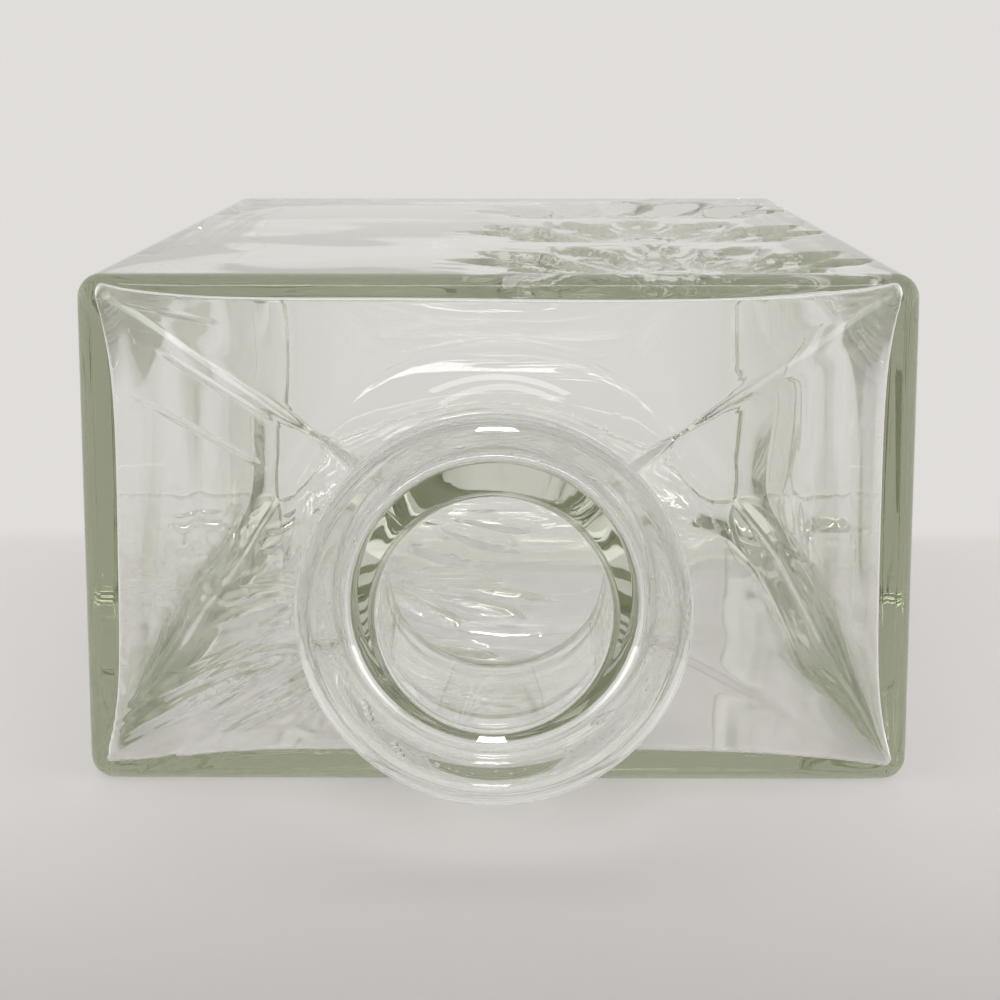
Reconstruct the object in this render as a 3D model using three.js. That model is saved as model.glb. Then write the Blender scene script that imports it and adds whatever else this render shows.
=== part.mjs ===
// Rectangular mould-blown glass decanter with a hipped shoulder, a short neck and a wide rounded lip.
// It lies on one broad face. Millimetres, +Z up, with the origin under the middle of the whole decanter.
// +X runs across the body and +Y from the mouth to the base. The neck's axis is parallel to Y.
// The pieces are drawn from the plane y = 0, where the walls end and the shoulder begins.

import * as THREE from "three";

// Body, outside
const bodyWidth = 100;
const bodyThickness = 62;
const bodyLength = 164;
const bodyCornerRadius = 2.8;
const baseEdgeRadius = 3;
const shoulderEdgeRadius = 2.2;

// Base, with a shallow dish inside the flat rim that it stands on
const baseRimWidth = 14;
const baseRecessDepth = 2.5;
const baseRecessRadius = 12;

// Walls, thinnest in the corners, as blown glass comes out. The broad face that it lies on is thicker.
const sideWall = 4.4;
const upperWall = 3.5;
const lowerWall = 4.8;
const cornerWall = 1.8;
const wallBulgePower = 4.5;
const baseWall = 9;
const shoulderWall = 3;

// Foot, the last stretch of the walls, which gathers glass towards the base
const footLength = 55;
const footWall = 2.4;

// Cavity, rounded where its walls meet the shoulder and the floor
const cavityCornerRadius = 1.4;
const cavityFloorRadius = 18;
const cavityEdgeRadius = 0.8;

// Shoulder, a hipped roof whose hips sharpen on their way to the neck
const shoulderSlope = THREE.MathUtils.degToRad(27);
const hipRound = 2.6;
const cavityHipRound = 1.2;
const hipRoundEnd = 9;
const leastHipShare = 0.05;

// Neck, bore and the hollow curve that leads from the shoulder up to them
const neckRadius = 15.3;
const neckEndHeight = 38.4;
const neckFilletRadius = 9;
const boreRadius = 12.5;
const neckWall = neckRadius - boreRadius;

// Lip, a rounded ring laid on the end of the neck: a low arch in front with a narrow flat land on its crest
const lipRadius = 20.6;
const lipThickness = 5.4;
const lipCrestRadius = 16.7;
const lipLandWidth = 1.2;
const lipArchRadius = 9.4;
const mouthRound = 1.4;
const rimRound = 1.7;
const lipBackRound = 3;
const lipFilletRadius = 1;

// Steps of the mesh: along half a narrow side, round a corner and along half a broad face
const sideSteps = 5;
const cornerSteps = 6;
const faceSteps = 8;
const quarterSteps = sideSteps + cornerSteps + faceSteps;
const lipSegments = 4 * quarterSteps;

const axisHeight = bodyThickness / 2;
const neckEnd = -neckEndHeight;
const hipAngle = Math.atan2(bodyThickness, bodyWidth);
const cornerFan = THREE.MathUtils.degToRad(12);

// One quarter of a rounded rectangle, from the middle of its side to the middle of its top.
function rectangleQuarter(halfWidth, halfHeight, radius) {
  const points = [];
  const sideLength = halfHeight - radius;
  const topLength = halfWidth - radius;
  for (let i = 0; i < sideSteps; i++) {
    points.push(new THREE.Vector2(halfWidth, (sideLength * i) / sideSteps));
  }
  for (let i = 0; i < cornerSteps; i++) {
    const angle = ((Math.PI / 2) * i) / cornerSteps;
    const x = topLength + radius * Math.cos(angle);
    points.push(new THREE.Vector2(x, sideLength + radius * Math.sin(angle)));
  }
  for (let i = 0; i <= faceSteps; i++) {
    points.push(new THREE.Vector2(topLength * (1 - i / faceSteps), halfHeight));
  }
  return points;
}

// Angles on a quarter circle, one for each point of the rectangle's quarter. The corner's points gather
// round the angle of the hip, so that a ring that turns from one shape to the other has a point on the hip.
function quarterAngles() {
  const angles = [];
  const cornerStart = hipAngle - cornerFan;
  const cornerEnd = hipAngle + cornerFan;
  for (let i = 0; i < sideSteps; i++) {
    angles.push((cornerStart * i) / sideSteps);
  }
  for (let i = 0; i < cornerSteps; i++) {
    angles.push(THREE.MathUtils.lerp(cornerStart, cornerEnd, i / cornerSteps));
  }
  for (let i = 0; i <= faceSteps; i++) {
    angles.push(THREE.MathUtils.lerp(cornerEnd, Math.PI / 2, i / faceSteps));
  }
  return angles;
}

function ovalQuarter(halfWidth, halfHeight) {
  return quarterAngles().map((angle) => {
    return new THREE.Vector2(halfWidth * Math.cos(angle), halfHeight * Math.sin(angle));
  });
}

// Mirrors a quarter about both axes and lays the whole loop at one place along the neck's axis.
function ringFromQuarter(quarter, y) {
  const loop = [];
  const last = quarter.length - 1;
  const mirrors = [[1, 1], [-1, 1], [-1, -1], [1, -1]];
  mirrors.forEach(([signX, signZ], turn) => {
    for (let i = 0; i < last; i++) {
      const point = quarter[turn % 2 === 0 ? i : last - i];
      loop.push(new THREE.Vector3(signX * point.x, y, axisHeight + signZ * point.y));
    }
  });
  return loop;
}

function rectangleRing(y, halfWidth, halfHeight, radius) {
  return ringFromQuarter(rectangleQuarter(halfWidth, halfHeight, radius), y);
}

function ovalRing(y, halfWidth, halfHeight) {
  return ringFromQuarter(ovalQuarter(halfWidth, halfHeight), y);
}

function circleRing(y, radius) {
  return ovalRing(y, radius, radius);
}

// A ring between two others: share 0 is the first one's outline and share 1 the second one's.
function blendRings(first, second, share, y) {
  return first.map((point, i) => {
    const blended = point.clone().lerp(second[i], share);
    blended.y = y;
    return blended;
  });
}

// Rings of a shallow dish inside an edge ring, from near its oval middle out to the edge. The dish leaves
// the edge and reaches its middle without a kink, and a positive depth sinks the middle towards the mouth.
function dishRings(edge, halfWidth, halfHeight, depth) {
  const rings = [];
  const dishSteps = 6;
  const edgeY = edge[0].y;
  const centre = circleRing(edgeY, 0);
  for (let i = 1; i <= dishSteps; i++) {
    const share = i / dishSteps;
    const y = edgeY - depth * (1 - share * share) ** 2;
    const oval = ovalRing(y, halfWidth * share, halfHeight * share);
    rings.push(blendRings(oval, blendRings(centre, edge, share, y), share, y));
  }
  return rings;
}

// The body's outline, drawn in by an inset. Its corners keep their radius down to a small least one.
function outerRing(y, inset) {
  const leastRadius = 0.8;
  const radius = Math.max(bodyCornerRadius - inset, leastRadius);
  return rectangleRing(y, bodyWidth / 2 - inset, bodyThickness / 2 - inset, radius);
}

// The cavity's outline. Each wall bulges inwards between two corners, and all of them do in the foot.
function cavityRing(y, inset) {
  const foot = THREE.MathUtils.clamp((y - bodyLength + footLength) / footLength, 0, 1);
  const drawnIn = cornerWall + inset + footWall * foot * foot;
  const halfWidth = bodyWidth / 2 - drawnIn;
  const halfHeight = bodyThickness / 2 - drawnIn;
  return rectangleRing(y, halfWidth, halfHeight, cavityCornerRadius).map((point) => {
    const across = point.x / halfWidth;
    const up = (point.z - axisHeight) / halfHeight;
    const faceWall = up > 0 ? upperWall : lowerWall;
    point.x -= (sideWall - cornerWall) * across * (1 - Math.abs(up) ** wallBulgePower);
    point.z -= (faceWall - cornerWall) * up * (1 - Math.abs(across) ** wallBulgePower);
    return point;
  });
}

// The lesser of two heights, eased over a band in which they differ by less than its width.
function blendedLeast(first, second, width) {
  const overlap = Math.max(width - Math.abs(first - second), 0) / width;
  return Math.min(first, second) - (overlap * overlap * width) / 4;
}

// Height of the hipped roof over a rectangle of the given half sizes.
function roofHeight(point, halfWidth, halfHeight, round) {
  const rise = Math.tan(shoulderSlope);
  const steep = rise * (halfHeight - Math.abs(point.z - axisHeight));
  const shallow = ((rise * halfHeight) / halfWidth) * (halfWidth - Math.abs(point.x));
  const left = 1 - Math.min(steep, shallow) / hipRoundEnd;
  const share = THREE.MathUtils.clamp(left, leastHipShare, 1);
  return blendedLeast(steep, shallow, round * share);
}

// Extra height of the hollow curve that climbs from the roof to a round neck or bore.
function hollowHeight(point, radius, hollowRadius) {
  const distance = Math.hypot(point.x, point.z - axisHeight);
  const reach = THREE.MathUtils.clamp(radius + hollowRadius - distance, 0, hollowRadius);
  return hollowRadius - Math.sqrt(hollowRadius * hollowRadius - reach * reach);
}

// Lifts a ring onto the outside of the shoulder. The drop leads round the shoulder's edge.
function onShoulder(ring, drop) {
  return ring.map((point) => {
    const roof = roofHeight(point, bodyWidth / 2, bodyThickness / 2, hipRound);
    const hollow = hollowHeight(point, neckRadius, neckFilletRadius);
    return new THREE.Vector3(point.x, drop - roof - hollow, point.z);
  });
}

// The same for the inside, which runs parallel to the outside: its hollow curve has the same centre.
function underShoulder(ring, drop) {
  const halfWidth = bodyWidth / 2 - cornerWall;
  const halfHeight = bodyThickness / 2 - cornerWall;
  return ring.map((point) => {
    const roof = roofHeight(point, halfWidth, halfHeight, cavityHipRound);
    const hollow = hollowHeight(point, boreRadius, neckFilletRadius + neckWall);
    return new THREE.Vector3(point.x, shoulderWall + drop - roof - hollow, point.z);
  });
}

// Rings of the outside, from the dish in the base to the end of the neck.
function outsideRings() {
  const recessHalfWidth = bodyWidth / 2 - baseRimWidth;
  const recessHalfHeight = bodyThickness / 2 - baseRimWidth;
  const recessEdge = rectangleRing(bodyLength, recessHalfWidth, recessHalfHeight, baseRecessRadius);
  const rings = dishRings(recessEdge, recessHalfWidth, recessHalfHeight, baseRecessDepth);
  const baseEdgeSteps = 4;
  for (let i = 0; i <= baseEdgeSteps; i++) {
    const angle = ((Math.PI / 2) * i) / baseEdgeSteps;
    const y = bodyLength - baseEdgeRadius * (1 - Math.cos(angle));
    rings.push(outerRing(y, baseEdgeRadius * (1 - Math.sin(angle))));
  }
  const shoulderEdgeSteps = 4;
  for (let i = 0; i <= shoulderEdgeSteps; i++) {
    const angle = ((Math.PI / 2) * i) / shoulderEdgeSteps;
    const ring = outerRing(0, shoulderEdgeRadius * (1 - Math.cos(angle)));
    rings.push(onShoulder(ring, shoulderEdgeRadius * (1 - Math.sin(angle))));
  }
  const panelSteps = 5;
  const panelEdge = rings.at(-1);
  const root = circleRing(0, neckRadius + neckFilletRadius);
  for (let i = 1; i <= panelSteps; i++) {
    rings.push(onShoulder(blendRings(panelEdge, root, i / panelSteps, 0), 0));
  }
  const filletSteps = 6;
  for (let i = 1; i <= filletSteps; i++) {
    const angle = ((Math.PI / 2) * i) / filletSteps;
    const radius = neckRadius + neckFilletRadius * (1 - Math.sin(angle));
    rings.push(onShoulder(circleRing(0, radius), 0));
  }
  const lipFilletSteps = 3;
  for (let i = 0; i <= lipFilletSteps; i++) {
    const angle = ((Math.PI / 2) * i) / lipFilletSteps;
    const radius = neckRadius + lipFilletRadius * (1 - Math.cos(angle));
    rings.push(circleRing(neckEnd + lipFilletRadius * (1 - Math.sin(angle)), radius));
  }
  return rings;
}

// Rings of the inside, from the end of the neck down the bore to the floor of the cavity.
function insideRings() {
  const rings = [circleRing(neckEnd, boreRadius)];
  const hollowRadius = neckFilletRadius + neckWall;
  const hollowSteps = 7;
  for (let i = 0; i <= hollowSteps; i++) {
    const angle = ((Math.PI / 2) * i) / hollowSteps;
    const radius = boreRadius + hollowRadius * (1 - Math.cos(angle));
    rings.push(underShoulder(circleRing(0, radius), 0));
  }
  const panelSteps = 4;
  const hollowEnd = circleRing(0, boreRadius + hollowRadius);
  const panelEdge = cavityRing(0, cavityEdgeRadius);
  for (let i = 1; i < panelSteps; i++) {
    rings.push(underShoulder(blendRings(hollowEnd, panelEdge, i / panelSteps, 0), 0));
  }
  const edgeSteps = 3;
  for (let i = edgeSteps; i >= 0; i--) {
    const angle = ((Math.PI / 2) * i) / edgeSteps;
    const ring = cavityRing(0, cavityEdgeRadius * (1 - Math.cos(angle)));
    rings.push(underShoulder(ring, cavityEdgeRadius * (1 - Math.sin(angle))));
  }
  const floorY = bodyLength - baseWall;
  const footSteps = 3;
  const footStart = bodyLength - footLength;
  const footEnd = floorY - cavityFloorRadius;
  for (let i = 0; i < footSteps; i++) {
    rings.push(cavityRing(THREE.MathUtils.lerp(footStart, footEnd, i / footSteps), 0));
  }
  const floorRoundSteps = 7;
  for (let i = 0; i <= floorRoundSteps; i++) {
    const angle = ((Math.PI / 2) * i) / floorRoundSteps;
    const y = floorY - cavityFloorRadius * (1 - Math.sin(angle));
    rings.push(cavityRing(y, cavityFloorRadius * (1 - Math.cos(angle))));
  }
  const floorEdge = rings.pop();
  const halfWidth = Math.max(...floorEdge.map((point) => point.x));
  const halfHeight = Math.max(...floorEdge.map((point) => point.z)) - axisHeight;
  rings.push(...dishRings(floorEdge, halfWidth, halfHeight, baseRecessDepth).reverse());
  return rings;
}

// Joins the rings into one closed skin, with a fan of triangles to a point at each end.
function skinOfRings(firstPoint, rings, lastPoint) {
  const count = rings[0].length;
  const points = [firstPoint, ...rings.flat(), lastPoint];
  const triangles = [];
  const lastIndex = points.length - 1;
  const lastRing = lastIndex - count;
  for (let i = 0; i < count; i++) {
    const next = (i + 1) % count;
    triangles.push(0, 1 + next, 1 + i);
    triangles.push(lastIndex, lastRing + i, lastRing + next);
  }
  for (let ring = 0; ring < rings.length - 1; ring++) {
    const near = 1 + ring * count;
    const far = near + count;
    for (let i = 0; i < count; i++) {
      const next = (i + 1) % count;
      triangles.push(near + i, far + next, far + i);
      triangles.push(near + i, near + next, far + next);
    }
  }
  const geometry = new THREE.BufferGeometry();
  const positions = points.flatMap((point) => [point.x, point.y, point.z]);
  geometry.setAttribute("position", new THREE.Float32BufferAttribute(positions, 3));
  geometry.setIndex(triangles);
  geometry.computeVertexNormals();
  return geometry;
}

function bodyGeometry() {
  const recessCentre = new THREE.Vector3(0, bodyLength - baseRecessDepth, axisHeight);
  const floorCentre = new THREE.Vector3(0, bodyLength - baseWall - baseRecessDepth, axisHeight);
  return skinOfRings(recessCentre, [...outsideRings(), ...insideRings()], floorCentre);
}

// Points of an arc in the lip's section. Its angle is measured from the rim towards the front.
function sectionArc(centre, radius, start, end, steps) {
  const points = [];
  for (let i = 0; i <= steps; i++) {
    const angle = THREE.MathUtils.lerp(start, end, i / steps);
    const x = centre.x + radius * Math.cos(angle);
    points.push(new THREE.Vector2(x, centre.y + radius * Math.sin(angle)));
  }
  return points;
}

// The lip's section, once round from the end of the bore: back, rim, arch with its land, mouth.
function lipSection() {
  const landHalf = lipLandWidth / 2;
  const archCentreY = lipThickness - Math.sqrt(lipArchRadius ** 2 - landHalf ** 2);
  const archCentre = new THREE.Vector2(lipCrestRadius, archCentreY);
  const joinWithArch = (centreX, round) => {
    const angle = Math.acos((centreX - lipCrestRadius) / (lipArchRadius - round));
    const centreY = archCentreY + (lipArchRadius - round) * Math.sin(angle);
    return { angle, centre: new THREE.Vector2(centreX, centreY) };
  };
  const rim = joinWithArch(lipRadius - rimRound, rimRound);
  const mouth = joinWithArch(boreRadius + mouthRound, mouthRound);
  const backCentre = new THREE.Vector2(lipRadius - lipBackRound, lipBackRound);
  const landAngle = Math.acos(landHalf / lipArchRadius);
  return [
    new THREE.Vector2(boreRadius, 0),
    ...sectionArc(backCentre, lipBackRound, -Math.PI / 2, 0, 5),
    ...sectionArc(rim.centre, rimRound, 0, rim.angle, 4),
    ...sectionArc(archCentre, lipArchRadius, rim.angle, landAngle, 2).slice(1),
    ...sectionArc(archCentre, lipArchRadius, Math.PI - landAngle, mouth.angle, 2),
    ...sectionArc(mouth.centre, mouthRound, mouth.angle, Math.PI, 4).slice(1),
    new THREE.Vector2(boreRadius, 0),
  ];
}

function lipGeometry() {
  const geometry = new THREE.LatheGeometry(lipSection(), lipSegments);
  geometry.rotateZ(Math.PI);
  geometry.translate(0, neckEnd, axisHeight);
  return geometry;
}

const glass = {
  roughness: 0.04,
  metalness: 0,
  transparent: true,
  opacity: 0.45,
};
const bodyGlass = new THREE.MeshStandardMaterial({ ...glass, color: 0xc9d3c4 });
const lipGlass = new THREE.MeshStandardMaterial({ ...glass, color: 0xd6dcd4 });

const body = new THREE.Mesh(bodyGeometry(), bodyGlass);
body.name = "glass_body";

const lip = new THREE.Mesh(lipGeometry(), lipGlass);
lip.name = "lip_ring";

const mouthY = neckEnd - lipThickness;
const decanter = new THREE.Group();
decanter.add(body, lip);
decanter.position.y = -(bodyLength + mouthY) / 2;

export default decanter;
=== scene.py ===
# %% [markdown]
# # A rectangular glass decanter
# This lesson builds the looks of a clear, faintly green decanter that lies on one broad face with its
# mouth towards us. The packed model already says how large everything is and where it sits, so the first
# cell loads it as a fixed frame. Everything that follows is measured from that frame, in metres.

# %% Load the packed model
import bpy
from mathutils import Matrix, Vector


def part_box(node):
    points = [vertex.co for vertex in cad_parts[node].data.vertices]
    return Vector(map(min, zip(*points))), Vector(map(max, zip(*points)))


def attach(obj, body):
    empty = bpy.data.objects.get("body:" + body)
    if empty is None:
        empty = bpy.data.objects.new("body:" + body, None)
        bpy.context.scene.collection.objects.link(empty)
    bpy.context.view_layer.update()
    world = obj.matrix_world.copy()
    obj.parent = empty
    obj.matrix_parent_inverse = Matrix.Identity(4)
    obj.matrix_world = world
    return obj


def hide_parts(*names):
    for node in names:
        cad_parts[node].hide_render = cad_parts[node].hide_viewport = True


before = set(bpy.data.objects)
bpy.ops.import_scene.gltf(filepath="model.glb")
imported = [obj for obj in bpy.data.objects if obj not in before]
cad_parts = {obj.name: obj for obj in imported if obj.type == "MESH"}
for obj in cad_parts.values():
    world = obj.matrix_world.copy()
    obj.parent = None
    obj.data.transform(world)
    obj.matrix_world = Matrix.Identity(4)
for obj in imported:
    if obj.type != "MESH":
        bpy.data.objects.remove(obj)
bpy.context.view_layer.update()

# %% [markdown]
# ## Tools and units
# The glass is one large mesh, and its points are easiest to place as arrays of numbers, so numpy does most
# of the shaping. Blender's own bmesh makes the bubbles. Sizes are written in millimetres, as a maker would
# measure them, and MM turns them into metres.

# %% Tools and units
import math

import bmesh
import bpy
import numpy as np
from mathutils import Euler, Matrix, Vector

MM = 0.001
print("1 mm is", MM, "m")

# %% [markdown]
# ## The camera
# The photograph looks almost straight into the mouth, from a little above. A camera is found by matching a
# few points that can be measured: the four corners of the front of the body, the far edge of the top face,
# the round lip and the round inner end of the bore. The long lens keeps the perspective gentle. The
# shoulder's plane is where the walls end, and the camera's place is written from there.

# %% Where the parts lie
body_low, body_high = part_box("glass_body")
lip_low, lip_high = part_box("lip_ring")
body_length = 164 * MM
shoulder_y = body_high.y - body_length
print("the shoulder's plane is at y =", round(shoulder_y, 4))

# %% [markdown]
# ### Making the camera
# A camera in Blender looks down its own Z axis. Turned a quarter about X it looks level along Y, and the
# pitch takes a little of that turn back, so that it looks down.

# %% Camera
camera_lens = 86.4
camera_sensor = 36
camera_sees_from = 0.02
camera_sees_to = 50
camera_pitch = math.radians(10.37)
camera_turn = math.radians(0.45)
camera_place = Vector((2.5 * MM, shoulder_y - 282.4 * MM, 86.8 * MM))


def make_camera():
    data = bpy.data.cameras.new("camera")
    data.lens = camera_lens
    data.sensor_width = camera_sensor
    data.clip_start = camera_sees_from
    data.clip_end = camera_sees_to
    camera = bpy.data.objects.new("camera", data)
    camera.location = camera_place
    camera.rotation_euler = Euler((math.pi / 2 - camera_pitch, 0, camera_turn))
    bpy.context.scene.collection.objects.link(camera)
    bpy.context.scene.camera = camera
    return camera


make_camera()
print("camera at", [round(v, 4) for v in camera_place])

# %% [markdown]
# ## Outlines of the glass
# Blown glass is one skin: down the outside from the base to the lip, and back up the inside to the cavity's
# floor. The easy way to make such a skin is to stack closed outlines, called rings, and to join each ring to
# the next. Here every ring has the same number of points, so a rounded rectangle can turn into a circle
# without any cuts.

# %% Sizes of the decanter
half_width = (body_high.x - body_low.x) / 2
half_height = (body_high.z - body_low.z) / 2
axis_z = (body_high.z + body_low.z) / 2
lip_radius = (lip_high.x - lip_low.x) / 2
lip_front_y = lip_low.y
lip_back_y = lip_high.y
neck_radius = 15.3 * MM
bore_radius = 12.1 * MM
corner_radius = 2.8 * MM
print("half width", round(half_width, 4), "half height", round(half_height, 4), "lip", round(lip_radius, 4))

# %% [markdown]
# ### Points across a broad face
# The broad faces carry a relief along their right side. The points lie a millimetre apart there, and further
# apart on the plain rest, so that the mesh stays light.

# %% Points across a broad face
relief_pitch = 1.0 * MM
plain_pitch = 2.2 * MM
relief_middle = 21 * MM
relief_half_width = 26 * MM


def face_stations():
    """Places across a broad face, from its right end to its left, close together on the relief."""
    end = half_width - corner_radius
    right = relief_middle + relief_half_width
    left = relief_middle - relief_half_width
    fine = np.linspace(right, left, round((right - left) / relief_pitch) + 1)
    plain = np.linspace(left, -end, round((left + end) / plain_pitch) + 1)
    return np.concatenate([[end], fine[1:] if right >= end else fine, plain[1:]])


stations = face_stations() / (half_width - corner_radius)
print("points across a broad face:", len(stations))

# %% [markdown]
# ### Half a rounded rectangle
# The decanter looks the same when it is turned half round about the neck, so half a ring is enough. It
# starts in the middle of the right side and goes over the top to the left.

# %% Half a rounded rectangle
side_points = 16
corner_points = 12


def half_ring(half_x, half_z, radius):
    """Half of a rounded rectangle, from the middle of its right side over its top to the left."""
    straight = half_z - radius
    top = half_x - radius
    side = np.linspace(0, 1, side_points, endpoint=False)
    turn = np.linspace(0, np.pi / 2, corner_points, endpoint=False)
    parts = [
        np.stack([np.full(side_points, half_x), straight * side], 1),
        np.stack([top + radius * np.cos(turn), straight + radius * np.sin(turn)], 1),
        np.stack([top * stations, np.full(len(stations), half_z)], 1),
        np.stack([-top - radius * np.sin(turn), straight + radius * np.cos(turn)], 1)[1:],
        np.stack([np.full(side_points, -half_x), straight * (1 - side)], 1),
    ]
    return np.concatenate(parts)


print("points in half a ring:", len(half_ring(half_width, half_height, corner_radius)))

# %% [markdown]
# ### Half a circle with the same points
# The shoulder turns the rectangle into a circle. Each point of the circle is given a turn that keeps it near
# its place on the rectangle. The corner's points gather where the hip meets the neck, because a hip that
# runs along a column of points stays smooth, and one that crosses the columns would come out as a saw.

# %% Half a circle
hip_share = math.atan2(half_height, half_width) / (math.pi / 2)
corner_share = 0.35
side_share = hip_share - corner_share / 2
hip_crowding = 0.3


def half_circle(radius):
    """The same number of points on half a circle, each near the place that it has on the rectangle."""
    face_share = 1 - side_share - corner_share
    side = np.linspace(0, 1, side_points, endpoint=False)
    off_hip = np.linspace(-1, 1, corner_points, endpoint=False)
    turn = (1 + off_hip * (hip_crowding + (1 - hip_crowding) * off_hip**2)) / 2
    across = face_share * (1 - np.abs(stations))
    across = np.where(stations >= 0, across, 2 * face_share - across)
    start = side_share + corner_share
    share = np.concatenate([
        side * side_share,
        side_share + turn * corner_share,
        start + across,
        start + 2 * face_share + (1 - turn[::-1][:-1]) * corner_share,
        start + 2 * face_share + corner_share + side * side_share,
    ])
    angle = share * np.pi / 2
    return radius * np.stack([np.cos(angle), np.sin(angle)], 1)


print("points in half a circle:", len(half_circle(neck_radius)))

# %% [markdown]
# ### Whole rings
# A ring lies in a plane across the neck's axis. The second half is the first one turned half round. Two
# rings with the same points can be blended into any ring between them.

# %% Whole rings
def whole_ring(half, y):
    """Turns the half ring round the neck's axis for the other half, and lays the ring at y."""
    flat = np.concatenate([half, -half])
    return np.stack([flat[:, 0], np.full(len(flat), y), axis_z + flat[:, 1]], 1)


def blend_rings(first, second, share, y):
    ring = first * (1 - share) + second * share
    ring[:, 1] = y
    return ring


print("points in a ring:", len(whole_ring(half_circle(neck_radius), 0)))

# %% [markdown]
# ## The outside
# From the base to the neck the outside has five stretches: a shallow dish in the base, a flat rim to stand
# on, straight walls, a shoulder with four hips, and a hollow curve that leads into the neck. Each stretch is
# a short loop that adds its rings to one list. The base comes first. Its dish is a shallow dome turned
# inwards, which keeps a blown base from rocking.

# %% Base
base_rim = 14 * MM
base_edge = 3 * MM
base_edge_rings = 7
recess_depth = 2.5 * MM
recess_radius = 12 * MM
recess_rings = 12
least_radius = 0.8 * MM


def outer_ring(y, inset):
    radius = max(corner_radius - inset, least_radius)
    return whole_ring(half_ring(half_width - inset, half_height - inset, radius), y)


def dome_rings(edge, half_x, half_z, depth, count):
    """Rings of a shallow dome inside an edge ring, from near its middle out to the edge."""
    edge_y = edge[0, 1]
    centre = np.array([0, edge_y, axis_z])
    oval = half_circle(1) * [half_x, half_z]
    rings = []
    for share in np.linspace(0, 1, count + 1)[1:]:
        y = edge_y - depth * (1 - share**2) ** 2
        straight = centre + (edge - centre) * share
        rings.append(blend_rings(whole_ring(oval * share, y), straight, share, y))
    return rings


def base_rings():
    half_x, half_z = half_width - base_rim, half_height - base_rim
    edge = whole_ring(half_ring(half_x, half_z, recess_radius), body_high.y)
    rings = dome_rings(edge, half_x, half_z, recess_depth, recess_rings)
    for angle in np.linspace(0, np.pi / 2, base_edge_rings):
        y = body_high.y - base_edge * (1 - math.cos(angle))
        rings.append(outer_ring(y, base_edge * (1 - math.sin(angle))))
    return rings


print("rings of the base:", len(base_rings()))

# %% [markdown]
# ### Straight walls
# The mould makes the walls straight and true. Rings every millimetre and a half give the relief enough
# points along the faces.

# %% Walls
shoulder_edge = 2.2 * MM
wall_pitch = 1.45 * MM


def wall_rings():
    start = body_high.y - base_edge
    end = shoulder_y + shoulder_edge
    count = round((start - end) / wall_pitch)
    return [outer_ring(y, 0) for y in np.linspace(start, end, count + 1)[1:-1]]


print("rings of the walls:", len(wall_rings()))

# %% [markdown]
# ## The shoulder
# The shoulder is a hipped roof: two steep panels above the broad faces, two shallow ones above the narrow
# faces, and a rounded hip from each corner towards the neck. Its height above the shoulder's plane is
# simply the lower of the two panels' heights, blended a little so that the hips come out round.

# %% Height of the shoulder
panel_slope = math.radians(27)
neck_fillet = 9 * MM
hip_round = 2.6 * MM
hip_round_end = 9 * MM
least_hip_share = 0.15


def blended_least(first, second, width):
    overlap = np.clip(width - np.abs(first - second), 0, None) / width
    return np.minimum(first, second) - overlap**2 * width / 4


def hipped_roof(ring, width, height, blend):
    """Height over a rectangle of the given half sizes, with hips that sharpen towards the neck."""
    rise = math.tan(panel_slope)
    steep = rise * (height - np.abs(ring[:, 2] - axis_z))
    shallow = rise * (height / width) * (width - np.abs(ring[:, 0]))
    fading = np.clip(1 - np.minimum(steep, shallow) / hip_round_end, least_hip_share, 1)
    return blended_least(steep, shallow, blend * fading)


def fillet_height(ring, radius, fillet):
    """Extra height of a hollow fillet that climbs from the roof to a round neck."""
    distance = np.hypot(ring[:, 0], ring[:, 2] - axis_z)
    reach = np.clip(radius + fillet - distance, 0, fillet)
    return fillet - np.sqrt(fillet**2 - reach**2)


def outside_shoulder(ring, edge_drop):
    roof = hipped_roof(ring, half_width, half_height, hip_round)
    ring = ring.copy()
    ring[:, 1] = shoulder_y + edge_drop - roof - fillet_height(ring, neck_radius, neck_fillet)
    return ring


print("the roof at the neck is", round(math.tan(panel_slope) * (half_height - neck_radius), 4), "m high")

# %% [markdown]
# ### From the shoulder to the lip
# The edge between wall and shoulder is a small round. The rings then shrink from the rectangle to the
# circle at the neck's root, climb the fillet, follow the neck and open again into the lip's back.

# %% Shoulder and neck
neck_start = shoulder_y - 24 * MM
lip_fillet = 2.2 * MM
shoulder_edge_rings = 8
panel_rings = 22
fillet_rings = 15
neck_rings = 6
lip_fillet_rings = 9


def shoulder_rings():
    rings = []
    for angle in np.linspace(0, np.pi / 2, shoulder_edge_rings):
        inset = shoulder_edge * (1 - math.cos(angle))
        rings.append(outside_shoulder(outer_ring(0, inset), shoulder_edge * (1 - math.sin(angle))))
    edge = rings[-1]
    root = whole_ring(half_circle(neck_radius + neck_fillet), 0)
    for share in np.linspace(0, 1, panel_rings)[1:]:
        rings.append(outside_shoulder(blend_rings(edge, root, share, 0), 0))
    for angle in np.linspace(0, np.pi / 2, fillet_rings)[1:]:
        radius = neck_radius + neck_fillet * (1 - math.sin(angle))
        rings.append(outside_shoulder(whole_ring(half_circle(radius), 0), 0))
    for y in np.linspace(neck_start, lip_back_y + lip_fillet, neck_rings)[:-1]:
        rings.append(whole_ring(half_circle(neck_radius), y))
    for angle in np.linspace(0, np.pi / 2, lip_fillet_rings):
        radius = neck_radius + lip_fillet * (1 - math.cos(angle))
        y = lip_back_y + lip_fillet * (1 - math.sin(angle))
        rings.append(whole_ring(half_circle(radius), y))
    return rings


print("rings of the shoulder and the neck:", len(shoulder_rings()))

# %% [markdown]
# ## The lip
# The lip is a ring of glass laid on the neck and rolled round while hot. Its front is a low arch with its
# crest at about 17 mm from the axis. One tight round leads into the bore, another over the rim, and a larger
# one to the back. The arch and the rounds meet without a kink, which sets the angles at which they join.

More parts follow.
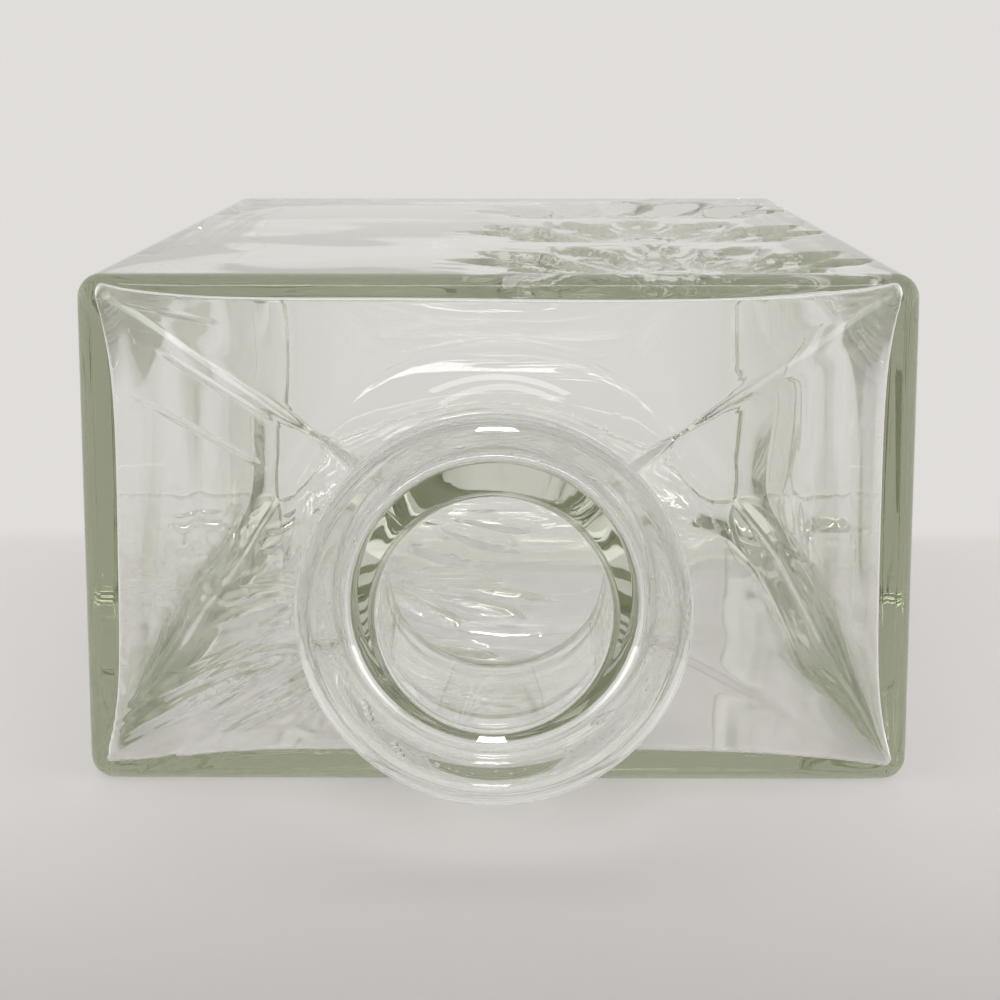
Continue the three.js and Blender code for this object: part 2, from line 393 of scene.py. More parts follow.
# %% Lip
lip_crest = 16.7 * MM
lip_arch = 9.4 * MM
mouth_round = 1.4 * MM
rim_round = 1.7 * MM
back_round = 2.5 * MM
back_rings = 10
rim_rings = 8
arch_rings = 20
mouth_rings = 18


def arc_rings(centre_radius, centre_y, size, start, end, count):
    """Rings along an arc of the lip's section, with the angle measured from the rim to the front."""
    rings = []
    for angle in np.linspace(start, end, count):
        ring = half_circle(centre_radius + size * math.cos(angle))
        rings.append(whole_ring(ring, centre_y - size * math.sin(angle)))
    return rings


def join_with_arch(centre_radius, size):
    """Angle and centre of a round that runs smoothly into the arch."""
    angle = math.acos((centre_radius - lip_crest) / (lip_arch - size))
    return angle, lip_front_y + lip_arch - (lip_arch - size) * math.sin(angle)


def lip_rings():
    rim_centre = lip_radius - rim_round
    mouth_centre = bore_radius + mouth_round
    rim_angle, rim_y = join_with_arch(rim_centre, rim_round)
    mouth_angle, mouth_y = join_with_arch(mouth_centre, mouth_round)
    back_y = lip_back_y - back_round
    arch_y = lip_front_y + lip_arch
    rings = arc_rings(lip_radius - back_round, back_y, back_round, -np.pi / 2, 0, back_rings)
    rings += arc_rings(rim_centre, rim_y, rim_round, 0, rim_angle, rim_rings)
    rings += arc_rings(lip_crest, arch_y, lip_arch, rim_angle, mouth_angle, arch_rings)[1:]
    rings += arc_rings(mouth_centre, mouth_y, mouth_round, mouth_angle, np.pi, mouth_rings)[1:]
    return rings


print("rings of the lip:", len(lip_rings()))

# %% [markdown]
# ## The inside
# The mould shapes only the outside. The inside is blown, so it follows more softly. Near the shoulder the
# walls are thin in the corners, which pinches the cavity there. Further back the corners open out, and the
# walls grow thick above the base, where the hot glass was heaviest.

# %% Outline of the cavity
corner_wall = 1.8 * MM
side_wall = 4.4 * MM
face_wall = 3.5 * MM
lower_wall = 4.8 * MM
pinch_power = 4.5
cavity_corner = 1.4 * MM
body_corner = 9 * MM
body_corner_wall = 2.8 * MM
settling_start = 5 * MM
settling = 45 * MM
foot_wall = 9 * MM
foot_height = 60 * MM
roundest_corner = 0.85


def smooth_share(values, start, end):
    share = np.clip((values - start) / (end - start), 0, 1)
    return share * share * (3 - 2 * share)


def cavity_ring(y, inset):
    """Outline of the cavity: thin in the corners near the shoulder, and thick walled above the base."""
    foot = np.clip((y - body_high.y + foot_height) / foot_height, 0, 1)
    inset = inset + foot_wall * foot**2
    settled = smooth_share(y, shoulder_y + settling_start, shoulder_y + settling_start + settling)
    corner = cavity_corner + (body_corner - cavity_corner) * settled
    thin = corner_wall + (body_corner_wall - corner_wall) * settled
    half_x = half_width - thin - inset
    half_z = half_height - thin - inset
    ring = whole_ring(half_ring(half_x, half_z, min(corner, roundest_corner * half_z)), y)
    across = ring[:, 0] / half_x
    up = (ring[:, 2] - axis_z) / half_z
    ring[:, 0] -= (side_wall - thin) * across * (1 - np.abs(up) ** pinch_power)
    wall = np.where(up > 0, face_wall, lower_wall) - thin
    ring[:, 2] -= wall * up * (1 - np.abs(across) ** pinch_power)
    return ring


widest = cavity_ring(shoulder_y + settling, 0)
print("cavity behind the shoulder:", [round(v, 4) for v in np.ptp(widest, axis=0)])

# %% [markdown]
# ### Bore and shoulder from inside
# The bore is a plain tube that opens into the cavity through a round as large as a thumb's tip. The inside
# of the shoulder is the same hipped roof, three millimetres under the outer one.

# %% Bore
shoulder_wall = 3 * MM
neck_hollow = 10 * MM
cavity_hip_round = 1.2 * MM
bore_start = 2.6 * MM
bore_end_gap = 0.5 * MM
bore_ring_count = 7


def inside_shoulder(ring, edge_drop):
    width, height = half_width - corner_wall, half_height - corner_wall
    roof = hipped_roof(ring, width, height, cavity_hip_round)
    hollow = fillet_height(ring, bore_radius, neck_hollow)
    ring = ring.copy()
    ring[:, 1] = shoulder_y + shoulder_wall + edge_drop - roof - hollow
    return ring


def bore_rings():
    bore = whole_ring(half_circle(bore_radius), 0)
    end = inside_shoulder(bore, 0)[:, 1].min() - bore_end_gap
    start = lip_front_y + bore_start
    return [whole_ring(half_circle(bore_radius), y) for y in np.linspace(start, end, bore_ring_count)]


print("rings of the bore:", len(bore_rings()))

# %% [markdown]
# ### Walls and floor of the cavity
# From the bore's end the rings open to the cavity's edge, run along the walls and close over a floor with a
# large round. The floor's dome follows the dish in the base.

# %% Cavity
base_wall = 9 * MM
cavity_floor = 18 * MM
cavity_edge = 0.4 * MM
cavity_walls_start = 1 * MM
hollow_rings = 18
roof_rings = 19
edge_rings = 7
cavity_wall_rings = 60
floor_rings = 24
dome_ring_count = 10
floor_y = body_high.y - base_wall


def cavity_rings():
    hollow_end = whole_ring(half_circle(bore_radius + neck_hollow), 0)
    edge = cavity_ring(shoulder_y, cavity_edge)
    rings = []
    for angle in np.linspace(0, np.pi / 2, hollow_rings):
        radius = bore_radius + neck_hollow * (1 - math.cos(angle))
        rings.append(inside_shoulder(whole_ring(half_circle(radius), 0), 0))
    for share in np.linspace(0, 1, roof_rings)[1:-1]:
        rings.append(inside_shoulder(blend_rings(hollow_end, edge, share, 0), 0))
    for angle in np.linspace(np.pi / 2, 0, edge_rings):
        ring = cavity_ring(shoulder_y, cavity_edge * (1 - math.cos(angle)))
        rings.append(inside_shoulder(ring, cavity_edge * (1 - math.sin(angle))))
    start = shoulder_y + shoulder_wall + cavity_edge + cavity_walls_start
    rings += [cavity_ring(y, 0) for y in np.linspace(start, floor_y - cavity_floor, cavity_wall_rings)[:-1]]
    for angle in np.linspace(0, np.pi / 2, floor_rings):
        y = floor_y - cavity_floor * (1 - math.sin(angle))
        rings.append(cavity_ring(y, cavity_floor * (1 - math.cos(angle))))
    edge = rings.pop()
    half_x, half_z = edge[:, 0].max(), edge[:, 2].max() - axis_z
    rings += dome_rings(edge, half_x, half_z, recess_depth, dome_ring_count)[::-1]
    return rings


print("rings of the cavity:", len(cavity_rings()))

# %% [markdown]
# ## One skin of glass
# The lip is fused to the neck, so light passes from one to the other with nothing in between. The looks
# therefore need one closed mesh for both: two separate ones would show a mirror where they touch. The same
# mesh stands for both pieces of the packed model.

# %% Join the rings
def skin_mesh(name, first, rings, last):
    """A closed mesh: a fan of triangles at each end, and bands of quads between the rings."""
    count = len(rings[0])
    points = np.concatenate([[first], *rings, [last]])
    this = np.arange(count)
    following = (this + 1) % count
    faces = [(0, 1 + b, 1 + a) for a, b in zip(this, following)]
    for ring in range(len(rings) - 1):
        near, far = 1 + ring * count, 1 + (ring + 1) * count
        faces += [(near + a, near + b, far + b, far + a) for a, b in zip(this, following)]
    end = 1 + (len(rings) - 1) * count
    faces += [(len(points) - 1, end + a, end + b) for a, b in zip(this, following)]
    mesh = bpy.data.meshes.new(name)
    mesh.from_pydata(points.tolist(), [], [tuple(int(i) for i in face) for face in faces])
    mesh.update()
    mesh.shade_smooth()
    return mesh


outside = base_rings() + wall_rings() + shoulder_rings() + lip_rings()
inside = bore_rings() + cavity_rings()
recess_centre = [0, body_high.y - recess_depth, axis_z]
floor_centre = [0, floor_y - recess_depth, axis_z]
glass_mesh = skin_mesh("decanter_glass", recess_centre, outside + inside, floor_centre)
decanter = bpy.data.objects.new("decanter_glass", glass_mesh)
bpy.context.scene.collection.objects.link(decanter)
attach(decanter, "root")
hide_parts("glass_body", "lip_ring")
print("glass faces", len(glass_mesh.polygons))

# %% [markdown]
# ## Relief on the broad faces
# A row of palmettes runs along one side of each broad face. A palmette is one of the oldest ornaments for
# glass and stone: a fan of pointed leaves on a round bead. The mould stands out where a leaf is, so each
# leaf is sunk in the glass, with a fine rib left along its middle. A formula for the depth of one leaf is
# enough, because the deepest of all leaves at a point is the depth of the whole row.

# %% Depth of one leaf
leaf_depth = 2.3 * MM
leaf_half_width = 5.6 * MM
leaf_start_gap = 1.0 * MM
leaf_belly = 1.2
leaf_taper = 0.75
leaf_roundness = 1.5
leaf_end_fade = 0.5
least_half_width = 1e-6
rib_half_width = 1.0 * MM
rib_height = 0.2
bead_radius = 3.2 * MM


def leaf_sink(across, along, turn, length):
    """Depth of one leaf that starts at the origin and grows towards the base, turned sideways."""
    angle = math.radians(turn)
    start = bead_radius + leaf_start_gap
    way = along * math.cos(angle) + across * math.sin(angle) - start
    aside = across * math.cos(angle) - along * math.sin(angle)
    share = np.clip(way / (length * MM - start), 0, 1)
    swell = np.sin(np.pi * share**leaf_belly)
    half = leaf_half_width * swell**leaf_taper + least_half_width
    place = np.clip(np.abs(aside) / half, 0, 1)
    rib = 1 - rib_height * np.exp(-((aside / rib_half_width) ** 2))
    return leaf_depth * (1 - place**2) ** leaf_roundness * rib * swell**leaf_end_fade


middle_of_leaf = leaf_sink(np.array([0.0]), np.array([20 * MM]), 0, 42)
print("a leaf is sunk by", round(float(middle_of_leaf[0]), 4))

# %% [markdown]
# ### A row of palmettes
# Each fan has nine leaves, the longest in the middle, and a groove round its bead. A leaf is given by its
# turn in degrees and its length in millimetres, and all but the middle one stand on both sides. The row
# starts behind the shoulder and fades out before it.

# %% Depth of the row
fan_pitch = 51 * MM
first_fan = shoulder_y + 6 * MM
fan_count = 3
fan_leaves = [(0, 42), (19, 41), (38, 38), (58, 31), (84, 20)]
leaf_list = [(turn * side, length) for turn, length in fan_leaves for side in ((1, -1) if turn else (1,))]
bead_groove = 0.7 * MM
bead_share = 0.3
row_fade_start = shoulder_y + 3 * MM
row_fade_end = shoulder_y + 8 * MM


def relief_depth(across, along):
    depth = np.zeros(len(across))
    for number in range(fan_count):
        right = across - relief_middle
        back = along - (first_fan + number * fan_pitch)
        for turn, length in leaf_list:
            depth = np.maximum(depth, leaf_sink(right, back, turn, length))
        groove = (np.hypot(right, back) - bead_radius) / bead_groove
        depth = np.maximum(depth, bead_share * leaf_depth * np.exp(-(groove**2)))
    return depth * smooth_share(along, row_fade_start, row_fade_end)


print("leaves in a fan:", len(leaf_list), "fans in a row:", fan_count)

# %% [markdown]
# ### Sinking the relief
# The upper face gets the row as it is. On the lower face the row is turned half round about the neck, runs
# the other way along the body and is shallower. The blown inside follows the leaves by less than half, and
# no longer where the wall thickens above the base.

# %% Sink the relief
inside_follows = 0.45
inside_fade = 25 * MM
inside_relief_end = floor_y - cavity_floor
inside_reach = 8 * MM
lower_relief = 0.55
half_middle_leaf = 21 * MM
row_middle = first_fan + fan_pitch + half_middle_leaf
level_with_face = 0.01 * MM


def mesh_array(items, name):
    values = np.empty(len(items) * 3)
    items.foreach_get(name, values)
    return values.reshape(-1, 3)


first_inside = 1 + sum(len(ring) for ring in outside)


def add_relief(mesh):
    points = mesh_array(mesh.vertices, "co")
    on_outside = np.arange(len(points)) < first_inside
    above_floor = points[:, 1] < inside_relief_end
    below_shoulder = points[:, 1] > shoulder_y + shoulder_wall + cavity_edge
    for side in (1, -1):
        up = side * (points[:, 2] - axis_z)
        level = on_outside & (up > half_height - level_with_face)
        under = ~on_outside & above_floor & below_shoulder & (up > half_height - inside_reach)
        for place, share in ((level, 1), (under, inside_follows)):
            face = np.flatnonzero(place)
            along = points[face, 1] if side > 0 else 2 * row_middle - points[face, 1]
            depth = relief_depth(side * points[face, 0], along)
            if share < 1:
                depth *= smooth_share(points[face, 1], inside_relief_end, inside_relief_end - inside_fade)
            points[face, 2] -= side * depth * share * (1 if side > 0 else lower_relief)
    mesh.vertices.foreach_set("co", points.ravel())
    mesh.update()
    return int(level.sum())


print("points of the lower face:", add_relief(glass_mesh))

# %% [markdown]
# ## Waves in the walls
# Long shallow waves stay in blown walls. They bend what shows through the glass, and a sum of sine waves
# with a fixed seed makes them. Each point moves along its own normal: freely on the inside, and only inwards
# on the outside, so that the decanter keeps its measured size. The bore and the lip were shaped with tools
# and keep still.

# %% Waves
def make_waves(count, shortest, longest, seed):
    """Directions and phases of sine waves, whose lengths lie between the two given ones."""
    draw = np.random.default_rng(seed)
    lengths = np.exp(draw.uniform(math.log(shortest), math.log(longest), count))
    direction = draw.normal(size=(count, 3))
    direction /= np.linalg.norm(direction, axis=1)[:, None]
    return direction * (2 * np.pi / lengths)[:, None], draw.uniform(0, 2 * np.pi, count), lengths


def wave_height(points, waves):
    direction, phase, lengths = waves
    swing = np.sin(points @ direction.T + phase) * lengths
    return swing.sum(1) / lengths.sum()


inner_waves = make_waves(count=24, shortest=16 * MM, longest=80 * MM, seed=11)
inner_ripples = make_waves(count=20, shortest=6 * MM, longest=14 * MM, seed=12)
outer_waves = make_waves(count=20, shortest=14 * MM, longest=60 * MM, seed=13)
print("waves:", len(inner_waves[2]) + len(inner_ripples[2]) + len(outer_waves[2]))

# %% [markdown]
# ### Moving the walls
# The inside moves by a few tenths of a millimetre, the outside by hardly anything, and both fade out on the
# shoulder.

# %% Move the walls
inner_wave_size = 0.7 * MM
inner_ripple_size = 0.01 * MM
outer_wave_size = 0.05 * MM
inner_fade = (shoulder_y - 14 * MM, shoulder_y - 2 * MM)
outer_fade = (shoulder_y - 18 * MM, shoulder_y)


def add_waves(mesh):
    points = mesh_array(mesh.vertices, "co")
    normals = mesh_array(mesh.vertex_normals, "vector")
    on_inside = np.arange(len(points)) >= first_inside
    inner = wave_height(points, inner_waves) * inner_wave_size
    inner += wave_height(points, inner_ripples) * inner_ripple_size
    inner *= smooth_share(points[:, 1], *inner_fade)
    outer = (wave_height(points, outer_waves) - 1) / 2 * outer_wave_size
    outer *= smooth_share(points[:, 1], *outer_fade)
    shift = np.where(on_inside, inner, outer)
    moved = points + normals * shift[:, None]
    mesh.vertices.foreach_set("co", moved.ravel())
    mesh.update()
    print("wall waves, mm:", round(np.ptp(inner[on_inside]) / MM, 2))


add_waves(glass_mesh)

# %% [markdown]
# ## Bubbles in the lip
# A little air was caught where the lip was laid on the neck. A bubble is a small closed surface inside the
# glass that faces inwards, so that light leaves the glass there and enters it again on the other side. Most
# are drawn out along the lip's circle. Three small groups are larger, and each is given by its angle in
# degrees, its radius and size in millimetres, and how far its bubbles are drawn out.

# %% Places of the bubbles
bubble_seed = 23
bubble_circle = 16.9 * MM
bubble_spread = 0.35
bubble_count = 90
bubble_depth = 1.9 * MM
bubble_depth_range = (-0.5, 0.5)
bubble_sizes = (0.04, 0.13)
bubble_stretch = (1, 5)
bubble_groups = ((218, 16.6, 0.3, 2.2), (235, 17.4, 0.28, 1.6), (316, 15.8, 0.25, 4))
group_turn = 2
group_step = 0.25


def bubble_places():
    """Angle, radius, depth, size and stretch of each bubble."""
    draw = np.random.default_rng(bubble_seed)
    places = []
    for _ in range(bubble_count):
        angle = draw.uniform(0, 2 * np.pi)
        radius = bubble_circle + draw.normal(0, bubble_spread) * MM
        size = draw.uniform(*bubble_sizes) * MM
        depth = bubble_depth + draw.uniform(*bubble_depth_range) * MM
        places.append((angle, radius, depth, size, draw.uniform(*bubble_stretch)))
    for degrees, radius, size, stretch in bubble_groups:
        for step in (-1, 0, 1):
            angle = math.radians(degrees + group_turn * step)
            places.append((angle, (radius + group_step * step) * MM, bubble_depth, size * MM, stretch))
    return places


print("bubbles:", len(bubble_places()))

# %% [markdown]
# ### Making the bubbles
# Every bubble is a small sphere, stretched and turned into its place by one matrix. The smallest need few
# faces. The bubbles then join the skin, so that the glass stays one piece.

# %% Bubbles
small_bubble = 0.2 * MM


def bubble_mesh(places):
    sphere = bmesh.new()
    for angle, radius, depth, size, stretch in places:
        where = Matrix.Rotation(-angle, 4, "Y") @ Matrix.Translation((radius, 0, 0))
        where = Matrix.Translation((0, lip_front_y + depth, axis_z)) @ where
        where = where @ Matrix.Diagonal((size, size, size * stretch, 1))
        detail = 1 if size < small_bubble else 2
        bmesh.ops.create_icosphere(sphere, subdivisions=detail, radius=1, matrix=where)
    bmesh.ops.reverse_faces(sphere, faces=sphere.faces)
    mesh = bpy.data.meshes.new("lip_bubbles")
    sphere.to_mesh(mesh)
    sphere.free()
    mesh.shade_smooth()
    return mesh


def join_meshes(first, second):
    both = bmesh.new()
    both.from_mesh(first)
    both.from_mesh(second)
    both.to_mesh(first)
    both.free()
    first.update()


join_meshes(glass_mesh, bubble_mesh(bubble_places()))
print("glass faces with bubbles", len(glass_mesh.polygons))

# %% [markdown]
# ## Sums in shader nodes
# A material in Blender is a net of nodes, and each node does one step of arithmetic. Long sums are easier to
# read as calls, so this small class makes the nodes: each of its methods takes numbers or sockets and gives
# back the socket that holds the result.

# %% Sums in nodes
class NodeSums:
    def __init__(self, owner):
        owner.use_nodes = True
        self.nodes = owner.node_tree.nodes
        self.links = owner.node_tree.links

    def feed(self, socket, value):
        """Gives a socket its value, or links it to the socket that the value comes from."""
        if isinstance(value, bpy.types.NodeSocket):
            self.links.new(value, socket)
        else:
            socket.default_value = value

    def maths(self, operation, first, second=0.0):
        node = self.nodes.new("ShaderNodeMath")
        node.operation = operation
        self.feed(node.inputs[0], first)
        self.feed(node.inputs[1], second)
        return node.outputs["Value"]

    def product(self, first, *others):
        for other in others:
            first = self.maths("MULTIPLY", first, other)
        return first

    def total(self, first, *others):
        for other in others:
            first = self.maths("ADD", first, other)
        return first

    def size(self, value):
        return self.maths("ABSOLUTE", value)

    def fade(self, value, start, end):
        """Climbs softly from 0 to 1 while the value goes from start to end."""
        step = self.nodes.new("ShaderNodeMapRange")
        step.interpolation_type = "SMOOTHSTEP"
        step.inputs["From Min"].default_value = start
        step.inputs["From Max"].default_value = end
        self.feed(step.inputs["Value"], value)
        return step.outputs["Result"]

    def parts(self, vector):
        split = self.nodes.new("ShaderNodeSeparateXYZ")
        self.feed(split.inputs["Vector"], vector)
        return [split.outputs[name] for name in "XYZ"]

    def vector(self, x, y, z):
        node = self.nodes.new("ShaderNodeCombineXYZ")
        for socket, value in zip(node.inputs, (x, y, z)):
            self.feed(socket, value)
        return node.outputs["Vector"]

    def noise(self, vector, scales):
        """Noise between 0 and 1, stretched by its own scale along each axis."""
        stretch = self.nodes.new("ShaderNodeVectorMath")
        stretch.operation = "MULTIPLY"
        stretch.inputs[1].default_value = scales
        self.feed(stretch.inputs[0], vector)
        noise = self.nodes.new("ShaderNodeTexNoise")
        noise.inputs["Scale"].default_value = 1
        noise.inputs["Detail"].default_value = 2
        self.feed(noise.inputs["Vector"], stretch.outputs["Vector"])
        return noise.outputs["Fac"]

    def tone(self, share, first, second):
        mix = self.nodes.new("ShaderNodeMix")
        mix.data_type = "RGBA"
        self.feed(mix.inputs["Factor"], share)
        self.feed(mix.inputs["A"], first)
        self.feed(mix.inputs["B"], second)
        return mix.outputs["Result"]


print("ways to make a sum:", len([name for name in vars(NodeSums) if name[0] != "_"]))

# %% [markdown]
# ## Marks of the making
# A mould and a blowpipe leave fine marks: streaks along the body, folds beside the hips and rings at the
# lip. They are less than a tenth of a millimetre deep, too fine for the mesh, so a bump in the material
# gives them. Each kind of mark is a height between 0 and 1 on its own patch of the surface. A single fold is
# a soft ridge along a straight line. It is given by its two ends, in millimetres across and up from the
# neck's axis, and by its share of the deepest mark.

# %% Single folds
fold_half_width = 0.55 * MM
fold_end = 4 * MM
fold_lines = [
    ((-46, 28.4), (-32, 25.4), 0.9),
    ((-41, 23.2), (-25.5, 14.4), 0.8),
    ((-44, 17.4), (-27, 9.4), 0.8),
    ((39, 27.5), (45, 28.5), 0.8),
]


def fold_line(sums, x, up, start, end):
    """A soft ridge along a straight line, given by its two ends in mm from the neck's axis."""
    (start_x, start_up), (end_x, end_up) = start, end
    length = math.hypot(end_x - start_x, end_up - start_up)
    way_x, way_up = (end_x - start_x) / length, (end_up - start_up) / length

    def turned(x_share, up_share, offset):
        both = sums.total(sums.product(x, x_share), sums.product(up, up_share))
        return sums.maths("SUBTRACT", both, offset * MM)

    along = turned(way_x, way_up, start_x * way_x + start_up * way_up)
    aside = turned(-way_up, way_x, start_up * way_x - start_x * way_up)
    near = sums.fade(sums.size(aside), fold_half_width, 0)
    first_end = sums.fade(along, 0, fold_end)
    last_end = sums.fade(along, length * MM, length * MM - fold_end)
    return sums.product(near, sums.product(first_end, last_end))


print("single folds:", len(fold_lines))

# %% [markdown]
# ### Folds along the lower left hip
# Where the mould was hottest, many folds lie side by side along one hip. Stretched noise has just such long
# wandering lines in it: the ridges stand where the noise is near its middle value.

# %% Folds along a hip
fold_closeness = 270.0
fold_wander = 14.0
fold_line_share = 0.18
hip_folds_reach = (6.5 * MM, 4 * MM)
root_gap = (24 * MM, 30 * MM)
lower_left_edge = (4 * MM, -4 * MM)
skin_depth = (2 * MM, 1.3 * MM)


def on_shoulder(sums, wide, high, y):
    """1 on the outside of the shoulder's panels, and 0 on their inside."""
    rise = math.tan(panel_slope)
    steep = sums.product(sums.maths("SUBTRACT", half_height, high), rise)
    shallow = sums.product(sums.maths("SUBTRACT", half_width, wide), rise * half_height / half_width)
    roof = sums.maths("MINIMUM", steep, shallow)
    return sums.fade(sums.total(sums.maths("SUBTRACT", y, shoulder_y), roof), *skin_depth)


def hip_folds(sums, x, up, wide, high, distance):
    hip = math.atan2(half_height, half_width)
    off_hip = sums.maths("SUBTRACT", sums.product(high, math.cos(hip)), sums.product(wide, math.sin(hip)))
    quarter = sums.total(sums.maths("SIGN", x), sums.product(sums.maths("SIGN", up), 3.0))
    along = sums.total(sums.product(distance, fold_wander), quarter)
    across = sums.product(off_hip, fold_closeness)
    folds = sums.noise(sums.vector(across, along, quarter), (1, 1, 1))
    folds = sums.fade(sums.size(sums.maths("SUBTRACT", folds, 0.5)), fold_line_share, 0)
    beside_hip = sums.fade(sums.size(off_hip), *hip_folds_reach)
    lower_left = sums.product(sums.fade(x, *lower_left_edge), sums.fade(up, *lower_left_edge))
    return sums.product(folds, beside_hip, sums.fade(distance, *root_gap), lower_left)


print("folds lie within", hip_folds_reach[0] / MM, "mm of the hip")

# %% [markdown]
# ### All marks together
# The heights are added up, each with its own share of the deepest mark.

# %% Height of the marks
mark_depth = 0.1 * MM
streak_share = 0.05
streak_scale = (28, 170, 28)
fold_share = 0.9
ring_share = 0.03
ring_scale = (700, 500, 25)
ring_reach = 6 * MM


def marks(sums):
    """Height of all fine marks at a point of the glass."""
    place = sums.nodes.new("ShaderNodeTexCoord").outputs["Object"]
    x, y, z = sums.parts(place)
    up = sums.maths("SUBTRACT", z, axis_z)
    wide, high = sums.size(x), sums.size(up)
    distance = sums.maths("SQRT", sums.total(sums.product(x, x), sums.product(up, up)))
    outer_panels = on_shoulder(sums, wide, high, y)
    near_lip = sums.fade(y, lip_back_y + ring_reach, lip_back_y)
    rings = sums.product(sums.noise(sums.vector(distance, y, x), ring_scale), near_lip)
    heights = [sums.product(sums.noise(place, streak_scale), streak_share)]
    for start, end, share in fold_lines:
        heights.append(sums.product(fold_line(sums, x, up, start, end), outer_panels, share))
    heights.append(sums.product(hip_folds(sums, x, up, wide, high, distance), outer_panels, fold_share))
    heights.append(sums.product(rings, ring_share))
    return sums.total(*heights)


print("the deepest mark is", mark_depth * fold_share, "m")

# %% [markdown]
# ## The glass
# Clear glass has no colour on its surface. Its faint green comes from the depth that light crosses, so it is
# nearly clear through one wall and olive green along the edges, where light runs the length of a wall. A
# Volume Absorption node does that. Lamps would hardly reach the table through two surfaces that bend light,
# so for their rays alone the glass is a thin grey veil, which gives the pale shadow of real glass.

# %% Glass material
glass_bends = 1.52
glass_tint = (0.24, 0.30, 0.04, 1)
glass_tint_density = 7.5
shadow_tone = (0.78, 0.78, 0.78, 1)


def glass_material():
    material = bpy.data.materials.new("green_tinted_glass")
    sums = NodeSums(material)
    nodes, links = sums.nodes, sums.links
    surface = nodes["Principled BSDF"]
    surface.inputs["Base Color"].default_value = (1, 1, 1, 1)
    surface.inputs["Roughness"].default_value = 0.0
    surface.inputs["IOR"].default_value = glass_bends
    surface.inputs["Transmission Weight"].default_value = 1
    bump = nodes.new("ShaderNodeBump")
    bump.inputs["Distance"].default_value = mark_depth
    links.new(marks(sums), bump.inputs["Height"])
    links.new(bump.outputs["Normal"], surface.inputs["Normal"])
    absorb = nodes.new("ShaderNodeVolumeAbsorption")
    absorb.inputs["Color"].default_value = glass_tint
    absorb.inputs["Density"].default_value = glass_tint_density
    links.new(absorb.outputs["Volume"], nodes["Material Output"].inputs["Volume"])
    let_through = nodes.new("ShaderNodeBsdfTransparent")
    let_through.inputs["Color"].default_value = shadow_tone
    path = nodes.new("ShaderNodeLightPath")
    mix = nodes.new("ShaderNodeMixShader")
    links.new(path.outputs["Is Shadow Ray"], mix.inputs["Fac"])
    links.new(surface.outputs["BSDF"], mix.inputs[1])
    links.new(let_through.outputs["BSDF"], mix.inputs[2])
    links.new(mix.outputs["Shader"], nodes["Material Output"].inputs["Surface"])
    return material


glass_mesh.materials.append(glass_material())
print("nodes in the glass:", len(glass_mesh.materials[0].node_tree.nodes))

# %% [markdown]
# ## The table and the wall behind it
# The decanter lies on a pale table, and a pale wall stands behind it. In this lesson both are one large
# floor with a soft change of tone where the wall begins, so that no wall hides the decanter from behind.
# The wall's tone is for the eye alone: rays from the camera, from a mirror or through glass see it, and the
# lamps' own light doesn't. Towards the camera the table's colour is painted darker, a painted shade for the
# light that falls off on the table's near side.

# %% Table
wall_tone = (0.745, 0.723, 0.701, 1)
table_tone = (0.78, 0.755, 0.74, 1)
# painted shade: the table's colour is darker towards the camera, where less light falls
near_painted_shade_tone = (0.50, 0.484, 0.475, 1)
near_painted_shade_fade = (shoulder_y - 110 * MM, shoulder_y + 20 * MM)
wall_line = shoulder_y + 154 * MM
line_blur = 9 * MM
table_roughness = 0.7
table_shine = 0.2
table_size = 30
table_drop = 0.02 * MM


def sees_backdrop(sums):
    """1 for rays that come from the camera, from a mirror or through glass, and 0 for the light itself."""
    path = sums.nodes.new("ShaderNodeLightPath")
    either = sums.maths("MAXIMUM", path.outputs["Is Camera Ray"], path.outputs["Is Glossy Ray"])
    return sums.maths("MAXIMUM", either, path.outputs["Is Transmission Ray"])


def table_material():
    material = bpy.data.materials.new("pale_table")
    sums = NodeSums(material)
    nodes, links = sums.nodes, sums.links
    surface = nodes["Principled BSDF"]
    surface.inputs["Roughness"].default_value = table_roughness
    surface.inputs["Specular IOR Level"].default_value = table_shine
    y = sums.parts(nodes.new("ShaderNodeNewGeometry").outputs["Position"])[1]
    # painted shade: the base colour fades from the painted shade near the camera to the table's own tone
    tone = sums.tone(sums.fade(y, *near_painted_shade_fade), near_painted_shade_tone, table_tone)
    links.new(tone, surface.inputs["Base Color"])
    beyond_line = sums.fade(y, wall_line - line_blur, wall_line + line_blur)
    glow = nodes.new("ShaderNodeEmission")
    glow.inputs["Color"].default_value = wall_tone
    mix = nodes.new("ShaderNodeMixShader")
    links.new(sums.product(beyond_line, sees_backdrop(sums)), mix.inputs["Fac"])
    links.new(surface.outputs["BSDF"], mix.inputs[1])
    links.new(glow.outputs["Emission"], mix.inputs[2])
    links.new(mix.outputs["Shader"], nodes["Material Output"].inputs["Surface"])
    return material


bpy.ops.mesh.primitive_plane_add(size=table_size, location=(0, 0, -table_drop))
floor = bpy.context.object
floor.name = "table"
floor.data.materials.append(table_material())
print("the wall begins at y =", round(wall_line, 4))

# %% [markdown]
# ## The room
# Glass shows the whole room, so the world has a tone for each direction: the wall behind, a darker room
# behind the camera, bright windows to both sides, and a ceiling.

# %% Room light
room_dark = (0.45, 0.444, 0.44, 1)
ceiling_tone = (0.74, 0.725, 0.715, 1)
side_tone = (1.15, 1.13, 1.115, 1)
back_to_front = (-0.45, 0.25)
middle_to_sides = (0.6, 0.9)
walls_to_ceiling = (0.3, 0.9)


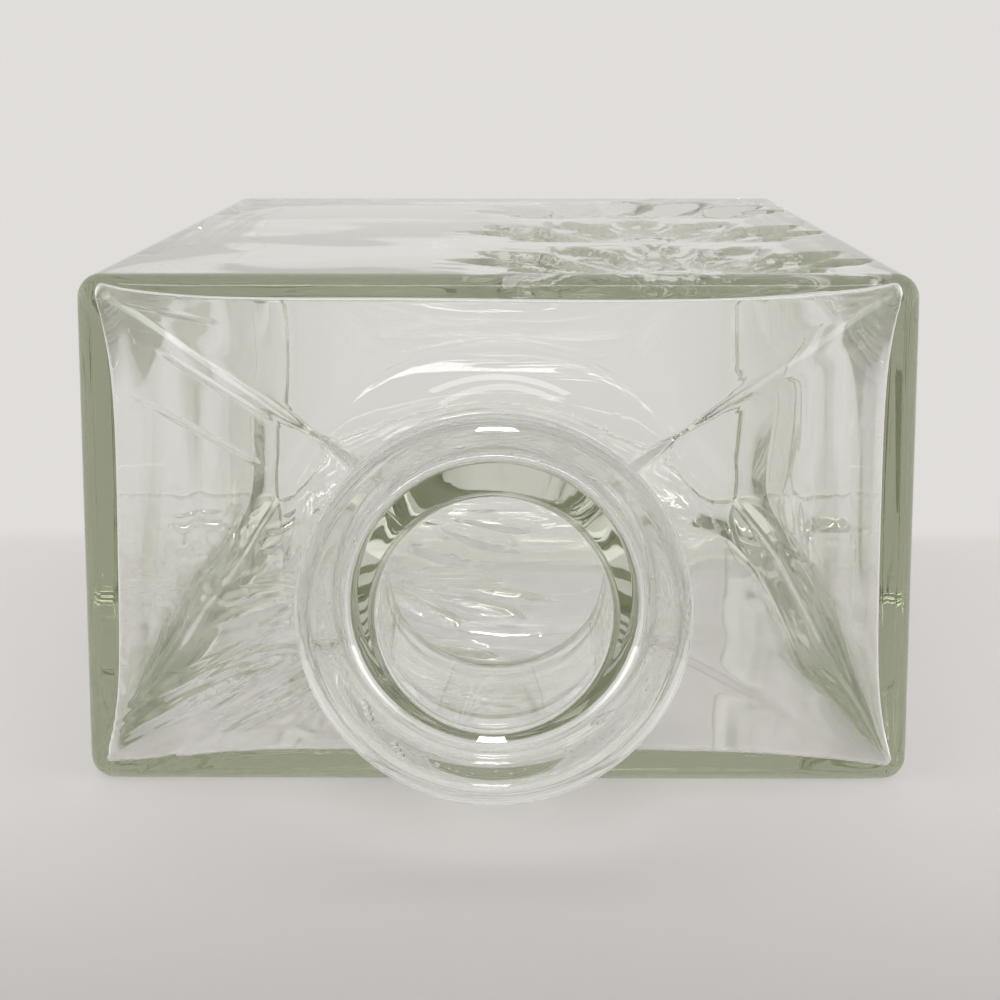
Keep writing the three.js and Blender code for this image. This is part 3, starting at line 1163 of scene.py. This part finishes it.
def make_world():
    world = bpy.data.worlds.new("room")
    bpy.context.scene.world = world
    sums = NodeSums(world)
    x, y, z = sums.parts(sums.nodes.new("ShaderNodeTexCoord").outputs["Generated"])
    walls = sums.tone(sums.fade(y, *back_to_front), room_dark, wall_tone)
    walls = sums.tone(sums.fade(sums.size(x), *middle_to_sides), walls, side_tone)
    seen = sums.tone(sums.fade(z, *walls_to_ceiling), walls, ceiling_tone)
    sums.links.new(seen, sums.nodes["Background"].inputs["Color"])
    return world


room_nodes = make_world().node_tree.nodes
print("blends of tones in the room:", len([node for node in room_nodes if node.type == "MIX"]))

# %% [markdown]
# ## The lamps
# Four soft panels light the scene: a window high behind the camera, which leaves the small bright
# highlights on the lip, two weaker ones beside it, and a faint strip above. Each is given by its name, its
# place and its width and height in metres, and its power in watts.

# %% Lamps
lamp_target = (0, 0, 0.03)
lamps = [
    ("ceiling_strip", (0, -0.15, 1.6), 0.9, 0.14, 1.2),
    ("window", (0, -2.8, 1.6), 0.48, 0.68, 33),
    ("left_window", (-1.27, -2.5, 1.1), 0.35, 0.9, 3),
    ("right_window", (1.27, -2.5, 1.1), 0.35, 0.9, 1.2),
]


def softbox(name, place, width, height, power):
    light = bpy.data.lights.new(name, "AREA")
    light.shape = "RECTANGLE"
    light.size = width
    light.size_y = height
    light.energy = power
    lamp = bpy.data.objects.new(name, light)
    lamp.location = place
    lamp.rotation_euler = (Vector(lamp_target) - Vector(place)).to_track_quat("-Z", "Y").to_euler()
    bpy.context.scene.collection.objects.link(lamp)
    return lamp


for lamp in lamps:
    softbox(*lamp)
print("watts in all:", round(sum(lamp[-1] for lamp in lamps), 1))

# %% [markdown]
# ## Last settings
# Glass needs many bounces, because light crosses one wall after another. The plain Standard view keeps
# colours as they are written.

# %% Render settings
glass_bounces = 96
clear_bounces = 32
scene = bpy.context.scene
scene.view_settings.view_transform = "Standard"
scene.cycles.max_bounces = glass_bounces
scene.cycles.transmission_bounces = glass_bounces
scene.cycles.glossy_bounces = glass_bounces
scene.cycles.transparent_max_bounces = clear_bounces
